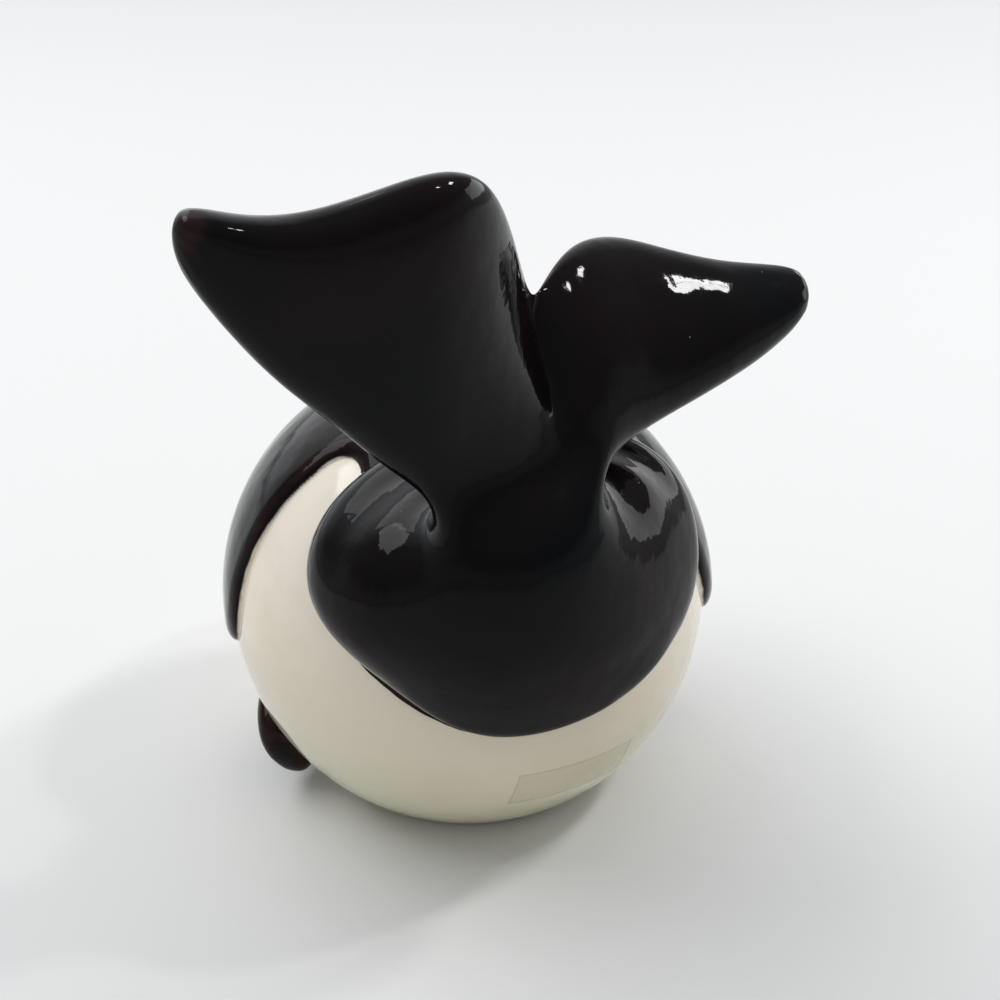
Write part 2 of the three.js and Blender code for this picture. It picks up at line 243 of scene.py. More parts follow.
def oval_distance(p, centre, half_length, half_height, slant):
    """Millimetres into an oval on the face, which is the same on both sides."""
    off = Vector((abs(p.x), p.y, p.z)) - centre
    u = off.dot(CHEEK_LINE)
    v = off.z
    turn = math.radians(slant)
    u, v = u * math.cos(turn) + v * math.sin(turn), v * math.cos(turn) - u * math.sin(turn)
    r = math.hypot(u / half_length, v / half_height)
    return (1 - r) * half_height


def eye_patch_distance(p):
    return oval_distance(p, EYE_PATCH, EYE_PATCH_HALF_LENGTH, EYE_PATCH_HALF_HEIGHT, EYE_PATCH_SLANT)


def eye_distance(p):
    return oval_distance(p, EYE, EYE_RADIUS, EYE_RADIUS, 0)


def eye_white_distance(p):
    """Millimetres into the white of the eye patch, or of the ring round the eye."""
    return max(eye_patch_distance(p), oval_distance(p, EYE, EYE_RING, EYE_RING, 0))


def black_distance(p):
    """Millimetres into whatever is glazed black. Negative is white."""
    black = max(cape_distance(p), root_distance(p))
    black = min(black, -eye_white_distance(p))
    return max(black, eye_distance(p))


def relief(p):
    """How far the surface stands out from the plain form."""
    t = min(max(cape_distance(p) / CAPE_EDGE, 0), 1)
    height = CAPE_RELIEF * math.sqrt(1 - (1 - t) ** 2)
    height += EYE_PATCH_RELIEF * smoothstep(*EYE_PATCH_EDGE, eye_patch_distance(p))
    bead = 1 - min(max(1 - eye_distance(p) / EYE_RADIUS, 0), 1) ** 2
    return height + EYE_RELIEF * math.sqrt(bead)


def plain_point(direction, offset=0.0):
    """The point of the plain form in a direction, from the equator's centre."""
    a, b, c = half_lengths(direction, offset)
    return Vector((a * direction.x, b * direction.y, c * direction.z))


def direction_of(p):
    """The form's own direction of a point given from the equator's centre, found in a few passes."""
    direction = p.normalized()
    for _ in range(DIRECTION_PASSES):
        a, b, c = half_lengths(direction)
        direction = Vector((p.x / a, p.y / b, p.z / c)).normalized()
    return direction


def body_point(direction, clearance=0.0):
    """The point of the body's surface in a direction, and how far into the black it lies."""
    a, b, c = half_lengths(direction)
    point = plain_point(direction)
    normal = Vector((direction.x / a, direction.y / b, direction.z / c)).normalized()
    black = black_distance(point)
    point += normal * (clearance + relief(point))
    point.z += EQUATOR
    return point, black


def height_over_body(point):
    """How far a point lies outside the body's surface, in millimetres."""
    p = point - Vector((0, 0, EQUATOR))
    direction = direction_of(p)
    a, b, c = half_lengths(direction)
    r = Vector((p.x / a, p.y / b, p.z / c)).length
    slope = Vector((p.x / a**2, p.y / b**2, p.z / c**2)).length / r
    return (r - 1) / slope - relief(plain_point(direction))


def on_body(point, clearance):
    """A point drawn in or out to the body's surface."""
    return body_point(direction_of(point - Vector((0, 0, EQUATOR))), clearance)[0]


# Meshes


def add_piece(name, bm, materials, body, node):
    """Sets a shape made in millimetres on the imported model's axis, as the piece that stands for a node."""
    bmesh.ops.scale(bm, vec=(MM, MM, MM), verts=bm.verts)
    bmesh.ops.translate(bm, vec=AXIS, verts=bm.verts)
    mesh = bpy.data.meshes.new(name)
    bm.to_mesh(mesh)
    bm.free()
    for finish in materials:
        mesh.materials.append(finish)
    mesh.shade_smooth()
    mesh.set_sharp_from_angle(angle=SHARP_ANGLE)
    piece = bpy.data.objects.new(name, mesh)
    bpy.context.scene.collection.objects.link(piece)
    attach(piece, body)
    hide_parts(node)


def boundary(bm):
    return [e for e in bm.edges if e.is_boundary]


def extruded(bm, edges, place):
    """Extrudes a boundary loop, moves its new points by place, and returns the new loop and faces."""
    made = bmesh.ops.extrude_edge_only(bm, edges=edges)["geom"]
    verts = {g for g in made if isinstance(g, bmesh.types.BMVert)}
    faces = [g for g in made if isinstance(g, bmesh.types.BMFace)]
    for v in verts:
        v.co = place(v.co.copy())
    loop = [g for g in made if isinstance(g, bmesh.types.BMEdge) and verts.issuperset(g.verts)]
    return loop, faces


def tube(bm, rings):
    """Adds rings of points joined by quads, and returns the vertices by ring."""
    count = len(rings[0])
    last = len(rings) - 1
    made = bmesh.ops.create_grid(bm, x_segments=count, y_segments=last, size=1)["verts"]
    table = [[None] * (count + 1) for _ in rings]
    for v in made:
        table[round((v.co.y + 1) / 2 * last)][round((v.co.x + 1) / 2 * count)] = v
    for row, ring in zip(table, rings):
        for k, v in enumerate(row):
            v.co = ring[k % count]
    bmesh.ops.weld_verts(bm, targetmap={row[count]: row[0] for row in table})
    return [row[:count] for row in table]


def smoothed(bm, levels):
    """The cage under subdivision, as a new bmesh."""
    bmesh.ops.recalc_face_normals(bm, faces=bm.faces)
    mesh = bpy.data.meshes.new("cage")
    bm.to_mesh(mesh)
    bm.free()
    cage = bpy.data.objects.new("cage", mesh)
    bpy.context.scene.collection.objects.link(cage)
    subdivision = cage.modifiers.new("smooth", "SUBSURF")
    subdivision.levels = subdivision.render_levels = levels
    made = bmesh.new()
    made.from_object(cage, bpy.context.evaluated_depsgraph_get())
    bpy.data.objects.remove(cage)
    bpy.data.meshes.remove(mesh)
    return made


def ring_growth(count):
    """Subdivision draws a ring of points in, so rings are made this much larger."""
    return 3 / (2 + math.cos(2 * math.pi / count))


def trimmed_to_body(bm):
    """Cuts away what lies inside the body, and closes the piece with a seat that follows the body."""
    heights = {v: height_over_body(v.co) - SEAT_GAP for v in bm.verts}
    heights = {v: 0.0 if abs(h) < SEAT_SNAP else h for v, h in heights.items()}
    cut = [v for v, h in heights.items() if h == 0]
    for e in list(bm.edges):
        first, second = e.verts
        if heights[first] * heights[second] < 0:
            share = heights[first] / (heights[first] - heights[second])
            middle = bmesh.utils.edge_split(e, first, share)[1]
            heights[middle] = 0.0
            cut.append(middle)
    bmesh.ops.connect_verts(bm, verts=cut)
    inside = [f for f in bm.faces if sum(heights[v] for v in f.verts) <= 0]
    bmesh.ops.delete(bm, geom=inside, context="FACES")
    loop = boundary(bm)
    hub = sum((v.co for e in loop for v in e.verts), Vector()) / (2 * len(loop))
    for step in range(SEAT_RINGS, 0, -1):
        loop, _ = extruded(bm, loop, lambda co: on_body(co.lerp(hub, 1 / step), SEAT_GAP))
    bmesh.ops.remove_doubles(bm, verts=bm.verts, dist=SEAT_MERGE)
    bmesh.ops.recalc_face_normals(bm, faces=bm.faces)
    return bm


def rims_for_thin_glaze_and_reflection(bm):
    """Keeps on each vertex how sharply the surface turns there, for glaze that runs thinner on edges and for
    a painted brown reflection along the rims.
    """
    bm.normal_update()
    thin_and_reflection = bm.verts.layers.float.new("thin_and_reflection")
    turn = {}
    for v in bm.verts:
        spans = [v.co - e.other_vert(v).co for e in v.link_edges]
        spread = max(sum(d.length_squared for d in spans), TINY)
        turn[v] = 2 * sum(v.normal.dot(d) for d in spans) / spread
    for _ in range(THIN_PASSES):
        smooth = {}
        for v in bm.verts:
            around = [turn[e.other_vert(v)] for e in v.link_edges]
            smooth[v] = (turn[v] + sum(around)) / (1 + len(around))
        turn = smooth
    for v in bm.verts:
        v[thin_and_reflection] = turn[v]
    return bm


# The body: a glazed shell with a coin slot, a dry foot and a plug hole


def slot_rows(offset):
    """The patch lines that the slot's ends take, counted from the patch's middle."""
    cell = 2 * PATCH_REACH / PATCH_CELLS
    return [round(math.asin(y / (FRONT_LENGTH + offset)) / cell) for y in (SLOT_FRONT, SLOT_REAR)]


def patch_direction(column, row, offset):
    """A direction over the crown. Near the slot the patch's lines follow the slot's sides and ends."""
    cell = 2 * PATCH_REACH / PATCH_CELLS
    direction = Vector((math.tan(column * cell), math.tan(row * cell), 1)).normalized()
    front, rear = slot_rows(offset)
    beyond = abs(column) - SLOT_SIDE_LINES
    if beyond > SLOT_EASE_LINES or not front <= row <= rear:
        return direction
    a = HALF_WIDTH + offset
    b = FRONT_LENGTH + offset
    step = SLOT_HALF_WIDTH / SLOT_SIDE_LINES
    ease = smoothstep(0, SLOT_EASE_LINES + 1, beyond)
    x = column * step * (1 - ease) + direction.x * a * ease
    y = {front: SLOT_FRONT, rear: SLOT_REAR}.get(row, direction.y * b)
    return Vector((x / a, y / b, math.sqrt(1 - (x / a) ** 2 - (y / b) ** 2)))


def lowered(direction, foot, share):
    """A direction moved down its meridian by a share of the way that is left to the foot."""
    latitude = math.asin(direction.z)
    latitude += (foot - latitude) * share
    longitude = math.atan2(direction.y, direction.x)
    out = math.cos(latitude)
    return Vector((out * math.cos(longitude), out * math.sin(longitude), math.sin(latitude)))


def skin(offset, level, rings):
    """The form in unit directions: a patch over the crown without the slot, and rings down to a level."""
    bm = bmesh.new()
    bmesh.ops.create_grid(bm, x_segments=PATCH_CELLS, y_segments=PATCH_CELLS, size=PATCH_CELLS / 2)
    front, rear = slot_rows(offset)
    loop = boundary(bm)
    slot = [
        f for f in bm.faces
        if all(abs(round(v.co.x)) <= SLOT_SIDE_LINES and front <= round(v.co.y) <= rear for v in f.verts)
    ]
    bmesh.ops.delete(bm, geom=slot, context="FACES")
    for v in bm.verts:
        v.co = patch_direction(round(v.co.x), round(v.co.y), offset)
    foot = math.asin((level - EQUATOR) / (BELLY_DROP + offset))
    for ring in range(rings):
        loop, _ = extruded(bm, loop, lambda co: lowered(co, foot, 1 / (rings - ring)))
    return bm


def slot_distance(p):
    """Millimetres from the slot's outline, measured flat."""
    return math.hypot(max(abs(p.x) - SLOT_HALF_WIDTH, 0), max(p.y - SLOT_REAR, SLOT_FRONT - p.y, 0))


def refine(bm, reach):
    """Halves the cells that lie near the edge of the black, or near the slot."""
    near = set()
    for v in bm.verts:
        p = plain_point(v.co)
        if (
            abs(cape_distance(p) - CAPE_EDGE / 3) < reach
            or abs(eye_white_distance(p)) < reach / 2
            or abs(eye_distance(p)) < reach / 2
            or (p.z > 0 and slot_distance(p) < reach)
        ):
            near.add(v)
    edges = [e for e in bm.edges if near.issuperset(e.verts)]
    bmesh.ops.subdivide_edges(bm, edges=edges, cuts=1, use_grid_fill=True)
    for v in bm.verts:
        v.co.normalize()


def at_radius(radius, z):
    """Moves a point to a radius and a level, and keeps its bearing."""
    def place(co):
        flat = Vector((co.x, co.y)).normalized() * radius
        return Vector((flat.x, flat.y, z))
    return place


def under_wall(co):
    """The point of the shell's inner face straight under a point of its outer face."""
    a, b, c = HALF_WIDTH - WALL, FRONT_LENGTH - WALL, DOME_RISE - WALL
    return Vector((co.x, co.y, EQUATOR + c * math.sqrt(1 - (co.x / a) ** 2 - (co.y / b) ** 2)))


def body_mesh():
    """The shell: glazed skin, slot walls, foot and inside. An attribute keeps the depth into the black."""
    bm = skin(0, 0, OUTER_RINGS)
    for reach in FINE_REACHES:
        refine(bm, reach)
    black = bm.verts.layers.float.new("black")
    for v in bm.verts:
        v.co, v[black] = body_point(v.co.copy())
        if v.co.z > EQUATOR:
            v.co.z -= SLOT_SAG * max(1 - slot_distance(v.co) / SLOT_SOFTNESS, 0) ** 2
    foot = [e for e in boundary(bm) if e.verts[0].co.z < EQUATOR]
    slot = [e for e in boundary(bm) if e.verts[0].co.z > EQUATOR]
    for v in {v for e in foot for v in e.verts}:
        v.co.z = 0
    foot_edges = list(foot)
    dry = []
    for radius, z in (
        (RECESS_RADIUS, 0),
        (RECESS_RADIUS, RECESS_DEPTH),
        (HOLE_RADIUS, RECESS_DEPTH),
        (HOLE_RADIUS, FLOOR_TOP),
    ):
        foot, faces = extruded(bm, foot, at_radius(radius, z))
        foot_edges += foot
        dry += faces
    extruded(bm, slot, under_wall)
    inside = inner_skin()
    mesh = bpy.data.meshes.new("inside")
    inside.to_mesh(mesh)
    inside.free()
    first = len(bm.faces)
    bm.from_mesh(mesh)
    bpy.data.meshes.remove(mesh)
    bm.faces.ensure_lookup_table()
    dry += bm.faces[first:]
    for f in dry:
        f.material_index = BARE_CLAY
    open_edges = boundary(bm)
    around_hole = [e for e in open_edges if e.verts[0].co.z < EQUATOR]
    around_slot = [e for e in open_edges if e.verts[0].co.z > EQUATOR]
    joints = bmesh.ops.bridge_loops(bm, edges=around_slot)["faces"]
    joints += bmesh.ops.triangle_fill(bm, edges=around_hole, use_beauty=True, normal=(0, 0, 1))["geom"]
    for f in joints:
        if isinstance(f, bmesh.types.BMFace):
            f.material_index = BARE_CLAY
    bmesh.ops.recalc_face_normals(bm, faces=bm.faces)
    rounded = [e for e in foot_edges if e.is_valid]
    bmesh.ops.bevel(
        bm, geom=rounded, offset=FOOT_ROUNDING, offset_type="OFFSET", segments=3, profile=0.5,
        affect="EDGES", clamp_overlap=True, material=-1,
    )
    return bm


def inner_skin():
    """The shell's inside, in millimetres, from the slot down to the floor and in to the plug hole."""
    bm = skin(-WALL, FLOOR_TOP, INNER_RINGS)
    for v in bm.verts:
        v.co = plain_point(v.co.copy(), -WALL) + Vector((0, 0, EQUATOR))
    floor = [e for e in boundary(bm) if e.verts[0].co.z < EQUATOR]
    for v in {v for e in floor for v in e.verts}:
        v.co.z = FLOOR_TOP
    extruded(bm, floor, at_radius(HOLE_RADIUS + HOLE_BRIM, FLOOR_TOP))
    return bm


# The tail: flukes and stock are one casting


def fluke_ring(station):
    """The points round one section of the flukes: trailing edge, front, leading edge and rear."""
    span, splay, leading, trailing, thickness, thinning, lean, hollow = station
    lean = math.radians(lean)
    up = Vector((0, -math.sin(lean), math.cos(lean)))
    back = Vector((0, math.cos(lean), math.sin(lean)))
    growth = ring_growth(RING_POINTS)
    roll = RIM_ROLL * smoothstep(*RIM_ROLL_SPANS, span)
    twist = Matrix.Rotation(math.radians(FLUKE_TWIST), 4, "Z")
    turn = twist @ Matrix.Rotation(math.radians(FLUKE_ROLL), 4, "Y")
    points = []
    for k in range(RING_POINTS):
        angle = 2 * math.pi * k / RING_POINTS
        chord = (leading + trailing) / 2 + math.cos(angle) * growth * (trailing - leading) / 2
        thick = thickness * (1 - thinning * (1 + math.cos(angle)) / 2)
        out = -math.sin(angle) * growth * (1 + roll * max(math.cos(angle), 0) ** 2)
        across = span + splay * (1 - math.cos(angle)) / 2
        fading = math.sqrt((1 + math.cos(angle)) / 2)
        depth = out * thick / 2 - max(out, 0) * hollow * fading
        point = Vector((across, 0, 0)) + up * chord + back * depth
        points.append(FLUKE_ROOT + turn @ point)
    return points


def stock_ring(row, share):
    """The points round one section of the tail stock, which turns towards the flukes' twist by a share."""
    y, z, width, depth, tilt, narrowness, fullness, shoulder = row
    growth = ring_growth(RING_POINTS)
    twist = math.radians(FLUKE_TWIST) * share
    across = Vector((math.cos(twist), math.sin(twist), 0))
    outward = Vector((0, math.sin(math.radians(tilt)), -math.cos(math.radians(tilt))))
    x = STOCK_BASE_X + (FLUKE_ROOT.x - STOCK_BASE_X) * share
    centre = Vector((x, REAR_LENGTH + y, EQUATOR + z))
    points = []
    for k in range(RING_POINTS):
        angle = 2 * math.pi * k / RING_POINTS
        rise = math.sin(angle)
        lower = narrowness * (STOCK_RIGHT_SHARE if math.cos(angle) < 0 else 1)
        left = 1 if math.cos(angle) > 0 else 0
        upper = fullness - SHOULDER_SLIMMING * rise**2 * left
        drawn_in = lower if rise > 0 else -upper
        narrowing = 1 - drawn_in * abs(math.sin(2 * angle)) + SHOULDER_WIDENING * left
        if rise < 0:
            rise = -shoulder * abs(rise) ** SHOULDER_FLATNESS
        points.append(
            centre
            + across * (growth * width * math.cos(angle) * narrowing)
            + outward * (growth * depth * rise)
        )
    return points


def cap(bm, ring):
    """A polygon over the open end of a tube."""
    bmesh.ops.edgeloop_fill(bm, edges=[e for e in boundary(bm) if set(ring).issuperset(e.verts)])


def tail_mesh():
    bm = bmesh.new()
    flukes = tube(bm, [fluke_ring(station) for station in FLUKE_STATIONS])
    cap(bm, flukes[0])
    cap(bm, flukes[-1])
    first = NOTCH_STATION - NECK_STATIONS
    last = NOTCH_STATION + NECK_STATIONS
    front, rear = LEADING_EDGE - 1, LEADING_EDGE + 1
    rim = [flukes[last][LEADING_EDGE]]
    rim += [flukes[station][rear] for station in range(last, first - 1, -1)]
    rim += [flukes[first][LEADING_EDGE]]
    rim += [flukes[station][front] for station in range(first, last + 1)]
    neck = {flukes[station][k] for station in range(first, last + 1) for k in range(front, rear + 1)}
    opening = [f for f in bm.faces if neck.issuperset(f.verts)]
    bmesh.ops.delete(bm, geom=opening, context="FACES")
    top = len(STOCK_RINGS) - 1
    rings = [[v.co.copy() for v in rim]]
    rings += [stock_ring(STOCK_RINGS[i], i / top) for i in range(top, -1, -1)]
    stock = tube(bm, rings)
    cap(bm, stock[-1])
    bmesh.ops.weld_verts(bm, targetmap=dict(zip(stock[0], rim)))
    crease = bm.edges.layers.float.new("crease_edge")
    notch = flukes[NOTCH_STATION]
    for k in range(rear, RING_POINTS):
        fold = bm.edges.get((notch[k], notch[(k + 1) % RING_POINTS]))
        fold[crease] = NOTCH_CREASE * (k - rear + 1) / (RING_POINTS - rear)
    lip = stock[len(stock) - 1 - LIP_RING]
    for k in range(RING_POINTS // 2):
        edge = bm.edges.get((lip[k], lip[k + 1]))
        edge[crease] = LIP_CREASE * math.sin(2 * math.pi * (k + 0.5) / RING_POINTS)
    return rims_for_thin_glaze_and_reflection(trimmed_to_body(smoothed(bm, TAIL_LEVELS)))


# Fins: rounded sections from a sunk root to a narrow tip

FIN_SECTIONS = (0, 0.3, 0.55, 0.75, 0.9, 1)
FIN_POINTS = 8
DORSAL_CHORDS = (18, 17.5, 15, 12, 9, 6)
DORSAL_THICKNESSES = (11, 10, 9, 8, 7, 5.5)
FLIPPER_CHORDS = (12, 15, 18, 19.5, 17, 11)
FLIPPER_THICKNESSES = (8.5, 9, 9, 9, 8.5, 6.5)
FLIPPER_BROADSIDE = Vector((0.46, 0, 1))
# Each flipper's root and tip. The right one sits a little further forward.
LEFT_FLIPPER = (Vector((32.4, -20, 17.5)), Vector((38.6, 10, 9.5)))
RIGHT_FLIPPER = (Vector((32, -26, 18)), Vector((37, -1, 11)))
# The dorsal fin's place ahead of the body's rear end, and its root and tip from the surface there
DORSAL_SETBACK = 41.2
DORSAL_ROOT = Vector((0, 0, -9.3))
DORSAL_TIP = Vector((0, 4, 21.9))
DORSAL_BROADSIDE = Vector((0, 1, 0))
DORSAL_SWEEP = 5


def surface_anchor(longitude, latitude):
    """A point of the plain form, by bearing and height in degrees."""
    out = math.cos(math.radians(latitude))
    turn = math.radians(longitude)
    direction = Vector((out * math.cos(turn), out * math.sin(turn), math.sin(math.radians(latitude))))
    return plain_point(direction) + Vector((0, 0, EQUATOR))


def fin_mesh(root, tip, broadside, chords, thicknesses, sweep, side=1):
    """A fin with a sunk root, broad along one direction. It sweeps that way towards the tip."""
    mirror = Matrix.Diagonal((side, 1, 1))
    foot = mirror @ root
    axis = mirror @ (tip - root)
    way = axis.normalized()
    broad = mirror @ broadside
    along = (broad - way * way.dot(broad)).normalized()
    thick = way.cross(along)
    growth = ring_growth(FIN_POINTS)
    rings = []
    for share, chord, thickness in zip(FIN_SECTIONS, chords, thicknesses):
        middle = foot + axis * share + along * (sweep * share**2)
        ring = []
        for k in range(FIN_POINTS):
            angle = 2 * math.pi * k / FIN_POINTS
            ring.append(
                middle
                + along * (growth * chord * math.cos(angle) / 2)
                + thick * (growth * thickness * math.sin(angle) / 2)
            )
        rings.append(ring)
    bm = bmesh.new()
    sections = tube(bm, rings)
    cap(bm, sections[0])
    cap(bm, sections[-1])
    return rims_for_thin_glaze_and_reflection(trimmed_to_body(smoothed(bm, FIN_LEVELS)))


def dorsal_mesh():
    y = REAR_LENGTH - DORSAL_SETBACK
    latitude = math.degrees(math.acos(y / REAR_LENGTH))
    anchor = surface_anchor(90, latitude)
    root = anchor + DORSAL_ROOT
    tip = anchor + DORSAL_TIP
    return fin_mesh(root, tip, DORSAL_BROADSIDE, DORSAL_CHORDS, DORSAL_THICKNESSES, DORSAL_SWEEP)


def flipper_mesh(side):
    root, tip = LEFT_FLIPPER if side > 0 else RIGHT_FLIPPER
    return fin_mesh(root, tip, FLIPPER_BROADSIDE, FLIPPER_CHORDS, FLIPPER_THICKNESSES, 0, side)


# The soft plug: a flanged cup, open downwards, with a grip bar across it

PLUG_RADIUS = 16.0
PLUG_FLANGE = 19.5
PLUG_BOTTOM = 0.5
PLUG_FLANGE_TOP = 2.2
PLUG_CROWN = 13.5
PLUG_LEAD_IN = 1.5
PLUG_WALL = 2.4
PLUG_ROUNDING = 0.5
PLUG_STEPS = 128
PLUG_MERGE = 0.001
GRIP_WIDTH = 4
GRIP_HEIGHT = 8.7
GRIP_ROUNDING = 0.6
JOIN_MERGE = 0.0005


def plug_mesh():
    inner = PLUG_RADIUS - PLUG_WALL
    profile = (
        (0, PLUG_CROWN - PLUG_WALL),
        (inner, PLUG_CROWN - PLUG_WALL),
        (inner, PLUG_BOTTOM),
        (PLUG_FLANGE, PLUG_BOTTOM),
        (PLUG_FLANGE, PLUG_FLANGE_TOP),
        (PLUG_RADIUS, PLUG_FLANGE_TOP),
        (PLUG_RADIUS, PLUG_CROWN - PLUG_LEAD_IN),
        (PLUG_RADIUS - PLUG_LEAD_IN, PLUG_CROWN),
        (0, PLUG_CROWN),
    )
    bm = bmesh.new()
    verts = [bm.verts.new((r, 0, z)) for r, z in profile]
    for pair in zip(verts, verts[1:]):
        bm.edges.new(pair)
    bmesh.ops.bevel(
        bm, geom=verts[1:-1], offset=PLUG_ROUNDING, offset_type="OFFSET", segments=4, profile=0.5,
        affect="VERTICES", clamp_overlap=True, material=-1,
    )
    bmesh.ops.spin(
        bm, geom=bm.verts[:] + bm.edges[:], axis=(0, 0, 1), cent=(0, 0, 0),
        angle=2 * math.pi, steps=PLUG_STEPS, use_merge=True,
    )
    bmesh.ops.remove_doubles(bm, verts=bm.verts, dist=PLUG_MERGE)
    bmesh.ops.recalc_face_normals(bm, faces=bm.faces)
    return joined(bm, grip_mesh())


def grip_mesh():
    """The bar across the cup, with rounded edges."""
    bar_top = PLUG_CROWN - PLUG_WALL / 2
    stretch = Matrix.Diagonal((2 * PLUG_RADIUS - PLUG_WALL, GRIP_WIDTH, GRIP_HEIGHT, 1))
    place = Matrix.Translation((0, 0, bar_top - GRIP_HEIGHT / 2))
    bm = bmesh.new()
    bmesh.ops.create_cube(bm, size=1, matrix=place @ stretch)
    bmesh.ops.bevel(
        bm, geom=bm.edges[:], offset=GRIP_ROUNDING, offset_type="OFFSET", segments=3, profile=0.5,
        affect="EDGES", clamp_overlap=True, material=-1,
    )
    return bm


def joined(first, second):
    """Two closed shapes as one closed shape."""
    pieces = []
    for bm in (first, second):
        mesh = bpy.data.meshes.new("joining")
        bm.to_mesh(mesh)
        bm.free()
        piece = bpy.data.objects.new("joining", mesh)
        bpy.context.scene.collection.objects.link(piece)
        pieces.append(piece)
    union = pieces[0].modifiers.new("union", "BOOLEAN")
    union.operation = "UNION"
    union.solver = "EXACT"
    union.object = pieces[1]
    made = bmesh.new()
    made.from_object(pieces[0], bpy.context.evaluated_depsgraph_get())
    for piece in pieces:
        bpy.data.meshes.remove(piece.data)
    bmesh.ops.remove_doubles(made, verts=made.verts, dist=JOIN_MERGE)
    return made


# The label: a blank clear film that follows the belly

LABEL_WIDTH = 24
LABEL_HEIGHT = 9
LABEL_TURN = 18
LABEL_DROP = 20
LABEL_LIFT = 0.06
LABEL_THICKNESS = 0.1
LABEL_COLUMNS = 48
LABEL_ROWS = 18
# Each pass halves the range in which the belly's surface is looked for.
LABEL_PASSES = 30


def label_mesh():
    bm = bmesh.new()
    bmesh.ops.create_grid(bm, x_segments=LABEL_COLUMNS, y_segments=LABEL_ROWS, size=0.5)
    edge = bm.verts.layers.float.new("edge")
    for v in bm.verts:
        v.co = Vector((v.co.x * LABEL_WIDTH, v.co.y * LABEL_HEIGHT, 0))
        v[edge] = min(LABEL_WIDTH / 2 - abs(v.co.x), LABEL_HEIGHT / 2 - abs(v.co.y))
    turn = Matrix.Rotation(math.radians(LABEL_TURN), 3, "Z")
    for v in bm.verts:
        s, t = v.co.x, v.co.y
        low, high = 0.0, 2 * REAR_LENGTH
        for _ in range(LABEL_PASSES):
            middle = (low + high) / 2
            point = turn @ Vector((s, middle, EQUATOR - LABEL_DROP + t))
            if height_over_body(point) > LABEL_LIFT:
                high = middle
            else:
                low = middle
        v.co = point
    bmesh.ops.recalc_face_normals(bm, faces=bm.faces)
    bmesh.ops.solidify(bm, geom=bm.faces[:], thickness=LABEL_THICKNESS)
    bmesh.ops.recalc_face_normals(bm, faces=bm.faces)
    return bm


# Shader maths: an expression on values adds its Math nodes

# A speck's full core, as a share of its size, and how softly the cells that have one are chosen
SPECK_CORE = 0.6
SPECK_CHOICE = 0.02


class Value:
    """A shader socket that Python's operators work on."""

    def __init__(self, paint, socket):
        self.paint = paint
        self.socket = socket

    def __add__(self, other):
        return self.paint.math("ADD", self, other)

    def __sub__(self, other):
        return self.paint.math("SUBTRACT", self, other)

    def __rsub__(self, other):
        return self.paint.math("SUBTRACT", other, self)

    def __mul__(self, other):
        return self.paint.math("MULTIPLY", self, other)

    __radd__ = __add__
    __rmul__ = __mul__


class Paint:
    """A node tree that ends in one shader."""

    def __init__(self, tree):
        self.tree = tree

    def node(self, kind, settings=None, sockets=None, output=0):
        """Adds a node, sets it up, sets or links its sockets, and returns one of its outputs."""
        node = self.tree.nodes.new(kind)
        for key, value in (settings or {}).items():
            setattr(node, key, value)
        for key, value in (sockets or {}).items():
            self.feed(node.inputs[key], value)
        return Value(self, node.outputs[output])

    def feed(self, socket, value):
        if isinstance(value, Value):
            self.tree.links.new(value.socket, socket)
        else:
            socket.default_value = value

    def math(self, operation, *values):
        return self.node("ShaderNodeMath", {"operation": operation}, dict(enumerate(values)))

    def mix(self, factor, first, second):
        """A colour between two colours."""
        return self.node("ShaderNodeMix", {"data_type": "RGBA"}, {0: factor, 6: first, 7: second}, 2)

    def step(self, value, low, high):
        """A soft step from 0 at low to 1 at high."""
        sockets = {"Value": value, "From Min": low, "From Max": high}
        return self.node("ShaderNodeMapRange", {"interpolation_type": "SMOOTHSTEP"}, sockets)

    def place(self):
        """Where a point of the piece lies, in metres."""
        return self.node("ShaderNodeTexCoord", output="Object")

    def noise(self, scale, detail=2.0, roughness=0.5):
        """A soft noise from 0 to 1, of a scale in cells per metre."""
        sockets = {"Vector": self.place(), "Scale": scale, "Detail": detail, "Roughness": roughness}
        return self.node("ShaderNodeTexNoise", None, sockets)

    def attribute(self, name):
        """A float that the piece's mesh keeps on its vertices."""
        return self.node("ShaderNodeAttribute", {"attribute_name": name}, output="Fac")

    def height(self):
        """Metres above the floor."""
        return self.node("ShaderNodeSeparateXYZ", None, {"Vector": self.place()}, 2)

    def specks(self, scale, size, share):
        """Small round dots: a share of the cells has one, of a size given in parts of a cell."""
        distance = self.node("ShaderNodeTexVoronoi", None, {"Vector": self.place(), "Scale": scale})
        chance = self.node("ShaderNodeSeparateColor", None, {"Color": self.sibling(distance, "Color")})
        dot = 1 - self.step(distance, size * SPECK_CORE, size)
        return dot * self.step(chance, 1 - share, 1 - share + SPECK_CHOICE)

    def sibling(self, value, output):
        """Another output of the node that a value comes from."""
        return Value(self, value.socket.node.outputs[output])

    def bump(self, height, distance):
        """A normal for unevenness that is a distance deep, in metres."""
        sockets = {"Height": height, "Distance": distance, "Strength": 1.0}
        return self.node("ShaderNodeBump", None, sockets)


def material(name, build):
    """A material whose build function feeds the sockets of its Principled shader."""
    made = bpy.data.materials.new(name)
    made.use_nodes = True
    paint = Paint(made.node_tree)
    shader = made.node_tree.nodes["Principled BSDF"]
    for socket, value in build(paint).items():
        paint.feed(shader.inputs[socket], value)
    return made
